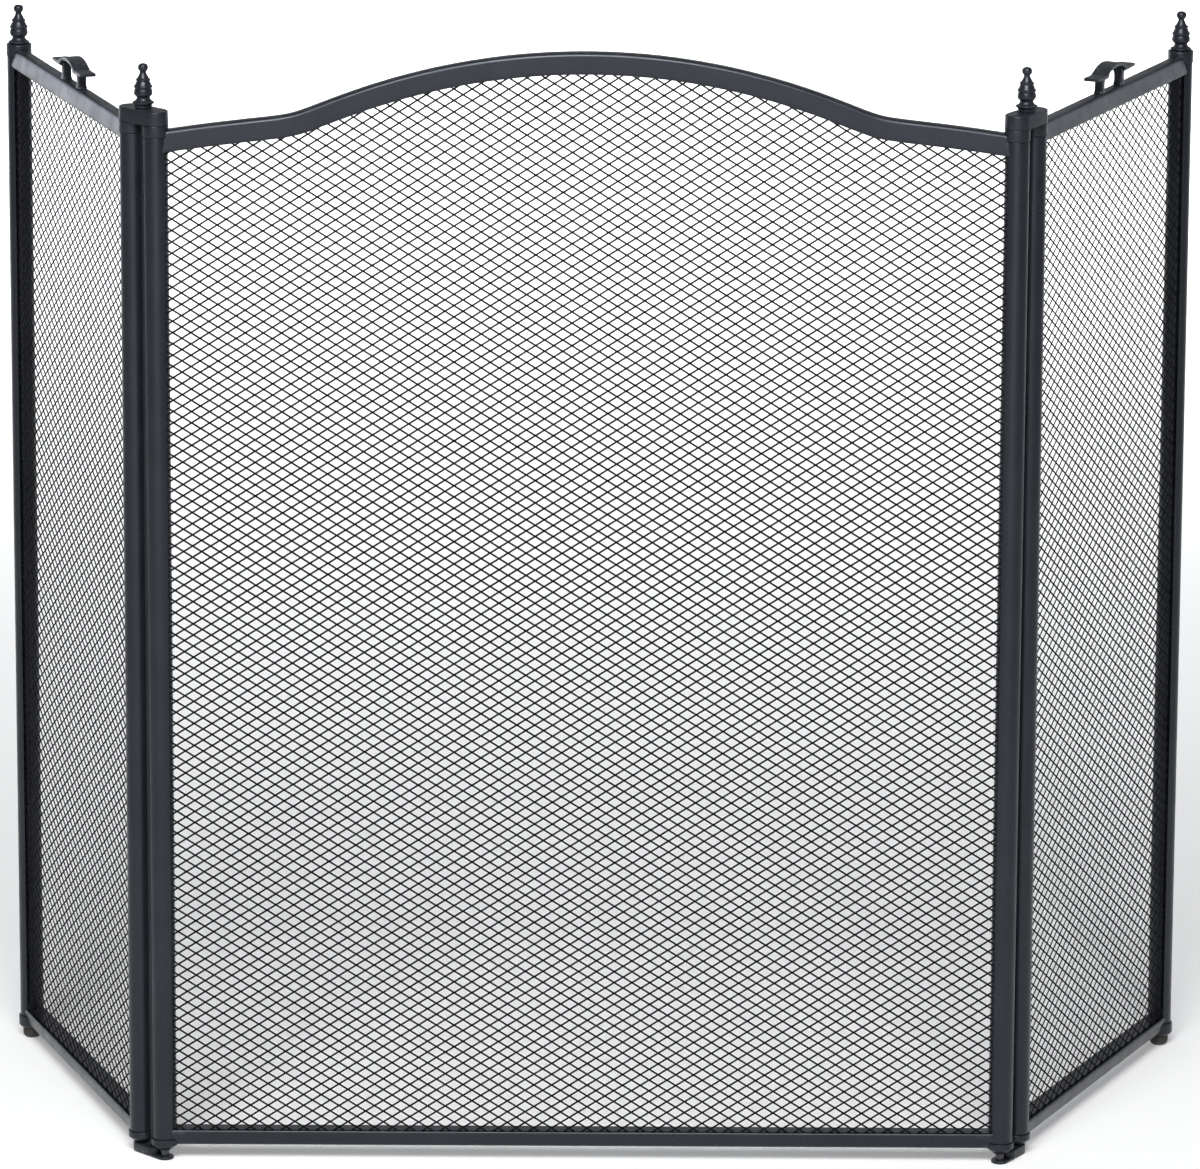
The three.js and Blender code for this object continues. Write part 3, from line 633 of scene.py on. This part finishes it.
def expanded_sheet(x0, x1, bottom, top, seed):
    """Expanded diamond mesh in the mesh plane between x0 and x1, from bottom up to top(x)."""
    chance = random.Random(seed)
    slant = math.hypot(HALF_LONG, HALF_SHORT)
    # An opening is a diamond out to tip on either side, cut flat above and below, between its shoulders.
    tip = HALF_LONG - STRAND_HALF * slant / HALF_SHORT
    peak = HALF_SHORT - STRAND_HALF * slant / HALF_LONG
    flat = HALF_SHORT - BOND_HALF
    shoulder = tip * (1 - flat / peak)
    verts, faces, bonds = [], [], {}

    def bond(m, n):
        """The front and back vertices at the middle of a bond."""
        if (m, n) not in bonds:
            x = BOND_PHASE_X + m * HALF_LONG + chance.uniform(-BOND_WANDER, BOND_WANDER)
            z = BOND_PHASE_Z + n * HALF_SHORT + chance.uniform(-BOND_WANDER, BOND_WANDER)
            bonds[m, n] = len(verts)
            verts.extend([(x, MESH_Y - RIDGE_HALF, z), (x, MESH_Y + RIDGE_HALF, z)])
        return bonds[m, n]

    highest = max(top(x0 + (x1 - x0) * k / TOP_SAMPLES) for k in range(TOP_SAMPLES + 1))
    columns = range(math.floor((x0 - BOND_PHASE_X) / HALF_LONG) - 1,
                    math.ceil((x1 - BOND_PHASE_X) / HALF_LONG) + 2)
    rows = range(math.floor((bottom - BOND_PHASE_Z) / HALF_SHORT) - 1,
                 math.ceil((highest - BOND_PHASE_Z) / HALF_SHORT) + 2)
    for m in columns:
        for n in rows:
            x, z = BOND_PHASE_X + m * HALF_LONG, BOND_PHASE_Z + n * HALF_SHORT
            if (m + n) % 2 or z - HALF_SHORT > top(min(max(x, x0), x1)) + HALF_SHORT:
                continue
            h = len(verts)
            front, back = MESH_Y - STRAND_TILT, MESH_Y + STRAND_TILT
            verts.extend([
                (x - tip, MESH_Y, z), (x - shoulder, back, z + flat), (x + shoulder, back, z + flat),
                (x + tip, MESH_Y, z), (x + shoulder, front, z - flat), (x - shoulder, front, z - flat)])
            west, north, east, south = bond(m - 1, n), bond(m, n + 1), bond(m + 1, n), bond(m, n - 1)
            outer = [(west, h, h + 1, north), (north, h + 1, h + 2), (north, h + 2, h + 3, east),
                     (east, h + 3, h + 4, south), (south, h + 4, h + 5), (south, h + 5, h, west)]
            faces += outer
            faces += [tuple(i if h <= i < h + 6 else i + 1 for i in reversed(face)) for face in outer]
    for outside in (lambda v: x0 - v[0], lambda v: v[0] - x1, lambda v: bottom - v[2],
                    lambda v: v[2] - top(v[0])):
        faces = clipped(verts, faces, outside)
    mesh = bpy.data.meshes.new("shape")
    mesh.from_pydata(verts, [], faces)
    bm = bmesh.new()
    bm.from_mesh(mesh)
    bmesh.ops.delete(bm, geom=[v for v in bm.verts if not v.link_faces], context="VERTS")
    bmesh.ops.holes_fill(bm, edges=[e for e in bm.edges if len(e.link_faces) == 1], sides=0)
    bmesh.ops.recalc_face_normals(bm, faces=bm.faces)
    bm.to_mesh(mesh)
    bm.free()
    obj = bpy.data.objects.new("shape", mesh)
    bpy.context.scene.collection.objects.link(obj)
    return obj


# ------------------------------------------------------------------ hinge links


def link_cap():
    """An obround cap across the tops of both posts."""
    bottom, top, r = CAP["bottom"], CAP["bottom"] + CAP["height"], CAP["radius"]
    levels = softened([(r - CAP["bottom_inset"], bottom), (r, bottom, CAP["bottom_edge"]),
                       (r - CAP["draft"], top, CAP["edge"]), (r - CAP["top_inset"], top)])
    pin_hole = CAP["bottom"] + CAP["pin_depth"]
    return combined(obround(0, LINK_SPAN, levels), [
        rod(PIN_BORE_R, bottom - OVERRUN, pin_hole), rod(PIN_BORE_R, bottom - OVERRUN, pin_hole, LINK_SPAN),
        rod(ROD_BORE_R, bottom - OVERRUN, top + OVERRUN, LINK_SPAN / 2),
    ])


def link_base():
    """A thin plate under both posts, with a raised bar from beside the centre post to the wing's post."""
    r, edge = LINK["radius"], LINK["edge"]
    inner = r - LINK["inset"]
    plate = obround(0, LINK_SPAN, softened([
        (inner, 0), (r, 0, edge), (r, LINK["plate"], edge), (inner, LINK["plate"])]))
    bar = obround(LINK["nose"] + r, LINK_SPAN, softened([
        (inner, 0), (r, 0, edge), (r, LINK["height"], edge), (inner, LINK["height"])]))
    body = combined(plate, [bar], "UNION")
    over = LINK["height"] + OVERRUN
    return combined(body, [
        rod(PIN_BORE_R, -OVERRUN, over), rod(PIN_BORE_R, -OVERRUN, over, LINK_SPAN),
        rod(ROD_BORE_R, -OVERRUN, over, LINK_SPAN / 2),
        rod(NUT["across"] / math.sqrt(3) + GAP, -OVERRUN, LINK["nut_recess"], LINK_SPAN / 2),
    ])


def rod_nut():
    """A hexagon nut with its corners chamfered at both faces."""
    top = LINK["nut_recess"] - GAP
    bottom, half = top - NUT["height"], NUT["across"] / 2
    face, corner = half * NUT["face_reach"], half * NUT["corner_reach"]
    rings = []
    for z, limit in ((bottom, face), (bottom + NUT["chamfer"], corner), (top - NUT["chamfer"], corner),
                     (top, face)):
        ring = []
        for k in range(ROUND_NUT):
            a = 2 * math.pi * k / ROUND_NUT
            flat = half / math.cos((a + math.pi / 6) % (math.pi / 3) - math.pi / 6)
            r = min(flat, limit)
            ring.append((LINK_SPAN / 2 + r * math.cos(a), r * math.sin(a), z))
        rings.append(ring)
    return combined(loft(rings), [rod(ROD_BORE_R, bottom - OVERRUN, top + OVERRUN, LINK_SPAN / 2)])


# ------------------------------------------------------------------ handle


def rounded_box(cx, cy, half_x, half_y, radius):
    """Points of a rounded rectangle, anticlockwise."""
    out = []
    for sx, sy, start in ((1, -1, -90), (1, 1, 0), (-1, 1, 90), (-1, -1, 180)):
        for k in range(SOFT_STEPS + 1):
            a = math.radians(start + 90 * k / SOFT_STEPS)
            out.append((cx + sx * (half_x - radius) + radius * math.cos(a),
                        cy + sy * (half_y - radius) + radius * math.sin(a)))
    return out


def curve(points):
    """Points of a cubic Bezier curve with these four control points."""
    (a, b, c, d), out = points, []
    for k in range(CURVE_STEPS + 1):
        t = k / CURVE_STEPS
        out.append(tuple(p * (1 - t) ** 3 + 3 * q * t * (1 - t) ** 2 + 3 * r * t * t * (1 - t) + s * t ** 3
                         for p, q, r, s in zip(a, b, c, d)))
    return out


def height_at(points, x):
    """Height of a polyline of (x, z) points, in order of x, at x."""
    for (xa, za), (xb, zb) in zip(points, points[1:]):
        if xa <= x <= xb:
            return za + (zb - za) * ((x - xa) / (xb - xa) if xb > xa else 0)
    return points[-1][1]


def handle(rail_top, rail):
    """A bridge handle over a rail's top, with the rail's shape and the rivets' holes cut from its legs."""
    h = HANDLE
    over = curve(HANDLE_OVER) + [(h["half"] + 1, h["over"])]
    under = curve(HANDLE_UNDER) + [(h["leg_out"], h["under"]), (h["half"] + 1, h["under"] + h["tip_rise"])]
    rings = []
    for k in range(HANDLE_STEPS + 1):
        x = h["half"] * (2 * k / HANDLE_STEPS - 1)
        inset = max(0, abs(x) - (h["half"] - h["round"]))
        shrink = h["round"] - math.sqrt(max(0, h["round"] ** 2 - inset ** 2))
        top, low = height_at(over, abs(x)), height_at(under, abs(x))
        half_thick = (top - low) / 2 - shrink * h["end_thinning"]
        section = rounded_box(0, (top + low) / 2, h["width"] / 2 - shrink, half_thick,
                              min(h["round"], half_thick) * h["round_share"])
        rings.append([(x, y, z) for y, z in section])
    legs, holes = [], []
    for end in (-LEG_AXIS, LEG_AXIS):
        half_x, half_y = (h["leg_out"] - h["leg_in"]) / 2, h["leg_width"] / 2
        legs.append(loft([[(x, y, z) for x, y in rounded_box(
            end, 0, half_x + flare * FLARE_X, half_y + flare * FLARE_Y, h["leg_round"])]
            for z, flare in LEG_FLARE]))
        holes.append(rod(RIVET["radius"] + GAP, rail_top - h["sink"] - OVERRUN, rail_top + RIVET["in_leg"],
                         end))
    body = combined(loft(rings), legs, "UNION")
    body.data.transform(Matrix.Translation((0, 0, rail_top)))
    return combined(body, [rail, *holes])


# ------------------------------------------------------------------ centre panel

HINGE_COLLARS = [TOP_COLLAR, BOTTOM_COLLAR]
OUTER_COLLARS = [OUTER_CAP, OUTER_COLLAR]
half_span = CENTRE_SPAN / 2
sheet_half = half_span - SHEET_EDGE
mesh_bottom = BOTTOM_RAIL["bottom"] + BOTTOM_RAIL["height"] - SHEET_IN_RAIL


def arch_sheet_top(x):
    """Height of the centre mesh's upper edge."""
    return arch_z(x) - ARCH_RAIL_HEIGHT / 2 + SHEET_IN_RAIL


def centre(obj, node, slot_name, shift=0, smooth=True):
    placed(obj, node, "centre", "centre_panel", slot_name, smooth, shift)


for node, rail in (("centre_arch_rail", arch_rail()),
                   ("centre_bottom_rail", straight_rail(-half_span, half_span, BOTTOM_RAIL, 1))):
    tools = cope(-half_span, HINGE_POST, HINGE_COLLARS) + cope(half_span, HINGE_POST, HINGE_COLLARS)
    centre(combined(rail, tools), node, "powder_coat")
centre(expanded_sheet(-sheet_half, sheet_half, mesh_bottom, arch_sheet_top, MESH_SEEDS["centre"]),
       "centre_mesh", "mesh_coat", smooth=False)
slot_top = arch_sheet_top(sheet_half - SLOT_TOP_INSET)
for side, sign in SIDES:
    centre(post(HINGE_POST, [-sign], slot_top), f"centre_post_{side}", "powder_coat", sign * half_span)
    centre(top_collar(), f"centre_top_collar_{side}", "cast_coat", sign * half_span)
    centre(bottom_collar(), f"centre_bottom_collar_{side}", "cast_coat", sign * half_span)

# ------------------------------------------------------------------ links and wings


def pin(ends):
    return rod(PIN_R, ends["bottom"], ends["top"], edge=PIN_EDGE)


def rivet(rail_top):
    return rod(RIVET["radius"], rail_top - RIVET["in_rail"] + GAP, rail_top + RIVET["in_leg"] - GAP,
               edge=RIVET["edge"])


for side, sign in SIDES:
    where = f"{side}_link"
    finial_base = CAP["bottom"] + CAP["height"] + GAP
    rod_top = finial_base + FINIAL_HOLE - STUD_END_GAP
    middle = LINK_SPAN / 2
    for name, shape, slot_name, x in (
            ("link_cap", link_cap(), "cast_coat", 0),
            ("link_base", link_base(), "cast_coat", 0),
            ("tie_rod", rod(ROD_R, ROD_BOTTOM, rod_top, edge=ROD_EDGE), "powder_coat", middle),
            ("tie_rod_nut", rod_nut(), "steel_pin", 0),
            ("link_finial", finial(finial_base), "cast_coat", middle),
            ("centre_pin_top", pin(PIN_TOP), "steel_pin", 0),
            ("wing_pin_top", pin(PIN_TOP), "steel_pin", LINK_SPAN),
            ("centre_pin_bottom", pin(PIN_BOTTOM), "steel_pin", 0),
            ("wing_pin_bottom", pin(PIN_BOTTOM), "steel_pin", LINK_SPAN)):
        placed(shape, f"{side}_{name}", where, where, slot_name, shift=x)

    where = f"{side}_wing"
    outer = sign * WING_SPAN
    x0, x1 = sorted((0, outer))
    mesh_top = WING_TOP_RAIL["bottom"] + SHEET_IN_RAIL
    rail_top = WING_TOP_RAIL["bottom"] + WING_TOP_RAIL["height"]
    rails = {}
    for name, size, mesh_side in (("top_rail", WING_TOP_RAIL, -1), ("bottom_rail", BOTTOM_RAIL, 1)):
        tools = cope(0, HINGE_POST, HINGE_COLLARS) + cope(outer, OUTER_POST, OUTER_COLLARS)
        rails[name] = combined(straight_rail(x0, x1, size, mesh_side), tools)
    grip = handle(rail_top, copied(rails["top_rail"], (-outer / 2, 0, GAP)))
    rivet_holes = [rod(RIVET["radius"] + GAP, rail_top - RIVET["in_rail"], rail_top + OVERRUN,
                       outer / 2 + offset) for offset in (-LEG_AXIS, LEG_AXIS)]
    rails["top_rail"] = combined(rails["top_rail"], rivet_holes)
    finial_base = OUTER_CAP["top"] - OUTER_CAP["recess"] + GAP
    stud = (OUTER_CAP["bottom"] - OUTER_CAP["spigot"] / 2 + GAP, finial_base + FINIAL_HOLE - STUD_END_GAP)
    for name, shape, slot_name, x in (
            ("hinge_post", post(HINGE_POST, [sign], mesh_top), "powder_coat", 0),
            ("hinge_top_collar", top_collar(), "cast_coat", 0),
            ("hinge_bottom_collar", bottom_collar(), "cast_coat", 0),
            ("outer_post", post(OUTER_POST, [-sign], mesh_top), "powder_coat", outer),
            ("outer_cap", outer_cap(), "cast_coat", outer),
            ("outer_finial", finial(finial_base), "cast_coat", outer),
            ("outer_stud", rod(ROD_R, *stud, edge=ROD_EDGE), "steel_pin", outer),
            ("outer_collar", outer_collar(), "cast_coat", outer),
            ("foot", foot(), "foot_rubber", outer),
            ("top_rail", rails["top_rail"], "powder_coat", 0),
            ("bottom_rail", rails["bottom_rail"], "powder_coat", 0),
            ("handle", grip, "cast_coat", outer / 2),
            ("handle_rivet_a", rivet(rail_top), "steel_pin", outer / 2 - LEG_AXIS),
            ("handle_rivet_b", rivet(rail_top), "steel_pin", outer / 2 + LEG_AXIS)):
        placed(shape, f"{side}_{name}", where, where, slot_name, shift=x)
    sheet = expanded_sheet(x0 + SHEET_EDGE, x1 - SHEET_EDGE, mesh_bottom, lambda x: mesh_top,
                           MESH_SEEDS[side])
    placed(sheet, f"{side}_mesh", where, where, "mesh_coat", smooth=False)

# ------------------------------------------------------------------ studio, in metres

FLOOR_HALF = 40.0
FLOOR_GLOW = 0.22
FLOOR_TONE = (0.68, 0.68, 0.68)
COOL = (0.82, 0.9, 1.08)
SKY = (0.93, 0.97, 1.0)
SKY_FADE = {"From Min": -0.7, "From Max": 0.8, "To Min": 0.10, "To Max": 0.34}  # from front to back

floor_mesh = bpy.data.meshes.new("floor")
floor_mesh.from_pydata([(x * FLOOR_HALF, y * FLOOR_HALF, 0) for x, y in ((-1, -1), (1, -1), (1, 1), (-1, 1))],
                       [], [(0, 1, 2, 3)])
floor = bpy.data.objects.new("floor", floor_mesh)
bpy.context.scene.collection.objects.link(floor)
floor_paint, floor_shader = new_material("floor_paint", FLOOR_TONE, 0.9, specular=0.1)
floor_shader.inputs["Emission Color"].default_value = (*WHITE, 1)
floor_shader.inputs["Emission Strength"].default_value = FLOOR_GLOW
floor_mesh.materials.append(floor_paint)

world = bpy.data.worlds.new("studio")
bpy.context.scene.world = world
world.use_nodes = True
surround = world.node_tree.nodes["Background"]
surround.inputs["Color"].default_value = (*SKY, 1)
direction = world.node_tree.nodes.new("ShaderNodeTexCoord")
parts = world.node_tree.nodes.new("ShaderNodeSeparateXYZ")
brightness = world.node_tree.nodes.new("ShaderNodeMapRange")
for socket, number in SKY_FADE.items():
    brightness.inputs[socket].default_value = number
world.node_tree.links.new(direction.outputs["Generated"], parts.inputs["Vector"])
world.node_tree.links.new(parts.outputs["Y"], brightness.inputs["Value"])
world.node_tree.links.new(brightness.outputs["Result"], surround.inputs["Strength"])


def softbox(name, place, target, width, height, power, spread, tint):
    """A rectangular light at place that faces target. Its spread is in degrees."""
    data = bpy.data.lights.new(name, "AREA")
    data.shape = "RECTANGLE"
    data.size, data.size_y = width, height
    data.energy = power
    data.color = tint
    data.spread = math.radians(spread)
    lamp = bpy.data.objects.new(name, data)
    bpy.context.scene.collection.objects.link(lamp)
    lamp.location = place
    lamp.rotation_mode = "QUATERNION"
    lamp.rotation_quaternion = (Vector(target) - Vector(place)).to_track_quat("-Z", "Y")


for light in (
        ("backdrop_light", (-0.8, 5.0, 3.4), (-0.8, 5.0, 0), 8.0, 5.0, 330, 70, WHITE),
        ("front_floor_light", (-0.5, -3.6, 3.0), (-0.5, -3.6, 0), 3.0, 1.6, 190, 180, WHITE),
        ("key", (-0.2, -2.4, 3.0), (0, 0.9, 0), 2.0, 1.2, 26, 75, WHITE),
        ("front_wall_light", (0, -6.5, 1.0), (0, 0, 0.6), 5.0, 1.4, 48, 180, WHITE),
        ("left_wall_light", (-4.2, 4.6, 1.1), (0, 0, 0.5), 3.0, 2.4, 46, 180, COOL),
        ("right_wall_light", (4.8, 4.0, 1.1), (0, 0, 0.5), 3.0, 2.4, 20, 180, COOL)):
    softbox(*light)

# ------------------------------------------------------------------ camera

SENSOR = 36.0                                   # width, in millimetres
LENS = 241.215
CAMERA_PLACE = (0.021565, -5.4979, 1.8325)      # from the middle of the centre panel, at floor level
PITCH, YAW, ROLL = (math.radians(a) for a in (14.340, -0.1116, -0.2518))
FAR_CLIP = 200

level = Vector((math.sin(YAW), math.cos(YAW), 0))
ahead = level * math.cos(PITCH) - Vector((0, 0, math.sin(PITCH)))
rightward = Vector((math.cos(YAW), -math.sin(YAW), 0))
upward = level * math.sin(PITCH) + Vector((0, 0, math.cos(PITCH)))
right = rightward * math.cos(ROLL) - upward * math.sin(ROLL)
up = rightward * math.sin(ROLL) + upward * math.cos(ROLL)
camera_data = bpy.data.cameras.new("camera")
camera_data.sensor_width = SENSOR
camera_data.lens = LENS
camera_data.clip_end = FAR_CLIP
camera = bpy.data.objects.new("camera", camera_data)
bpy.context.scene.collection.objects.link(camera)
aim = Matrix((right, up, -ahead)).transposed().to_4x4()
camera.matrix_world = FRAMES["centre"] @ Matrix.Translation(CAMERA_PLACE) @ aim
bpy.context.scene.camera = camera
bpy.context.scene.view_settings.view_transform = "Standard"
